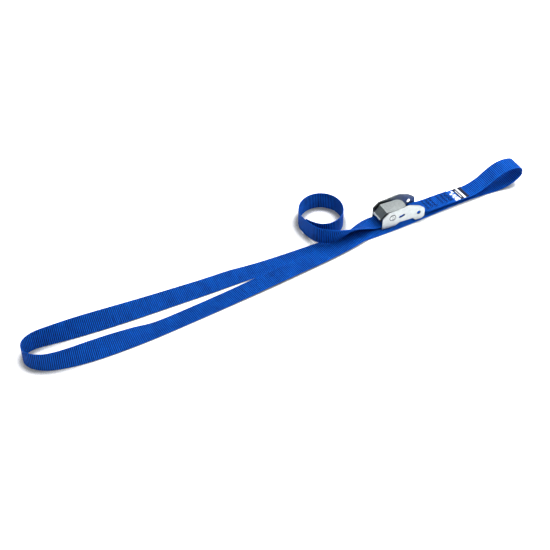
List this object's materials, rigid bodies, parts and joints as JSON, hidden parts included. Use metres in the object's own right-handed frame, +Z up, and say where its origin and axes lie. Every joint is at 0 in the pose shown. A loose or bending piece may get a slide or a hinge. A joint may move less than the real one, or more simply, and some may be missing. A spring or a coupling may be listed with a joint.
{
  "type": "cam buckle strap",
  "caption": "Blue webbing lashing strap with a sprung steel cam buckle, a sewn eye, a long loop and a curled free tail.",
  "frame": {"origin": "on the surface the strap lies on, below the middle of the buckle", "axes": "+X along the buckle from its front opening to its sewn end, +Y across the webbing, +Z up"},
  "size_m": [0.7339, 0.1559, 0.0347],
  "materials": {
    "zinc_plate": "bright zinc plate",
    "lever_plate": "satin zinc plate",
    "jaw_steel": "dull zinc plate",
    "rivet_steel": "bright zinc plate",
    "spring_wire": "dark spring wire",
    "blue_webbing": "ribbed polyester webbing",
    "sealed_webbing": "melted hard edge",
    "stitch_thread": "dark bonded thread",
    "label_cloth": "dark woven label"
  },
  "bodies": {
    "strap": {"frame_body": "zinc_plate", "pivot_rivet": "rivet_steel", "torsion_spring_far": "spring_wire", "torsion_spring_near": "spring_wire", "seam_stitches": "stitch_thread", "webbing_label": "label_cloth", "webbing_sewn_end": "blue_webbing", "webbing_buckle_run": "blue_webbing", "webbing_eye": "blue_webbing", "webbing_under_run": "blue_webbing", "webbing_far_run": "blue_webbing", "webbing_loop_bend": "blue_webbing", "webbing_near_run": "blue_webbing", "webbing_entry_run": "blue_webbing", "webbing_tail": "blue_webbing", "webbing_tail_curl": "blue_webbing", "tail_sealed_edge": "sealed_webbing"},
    "lever": {"lever_shell": "lever_plate", "cam_jaw": "jaw_steel"}
  },
  "joints": [
    {"name": "lever_hinge", "type": "hinge", "parent": "strap", "child": "lever", "pos_m": [-0.0158, 0, 0.0184], "axis": [0, 1, 0], "range_deg": [0, 25], "stiffness_Nm_per_rad": 0.08, "springref_deg": -34.38, "deforming": ["torsion_spring_far", "torsion_spring_near"]}
  ]
}
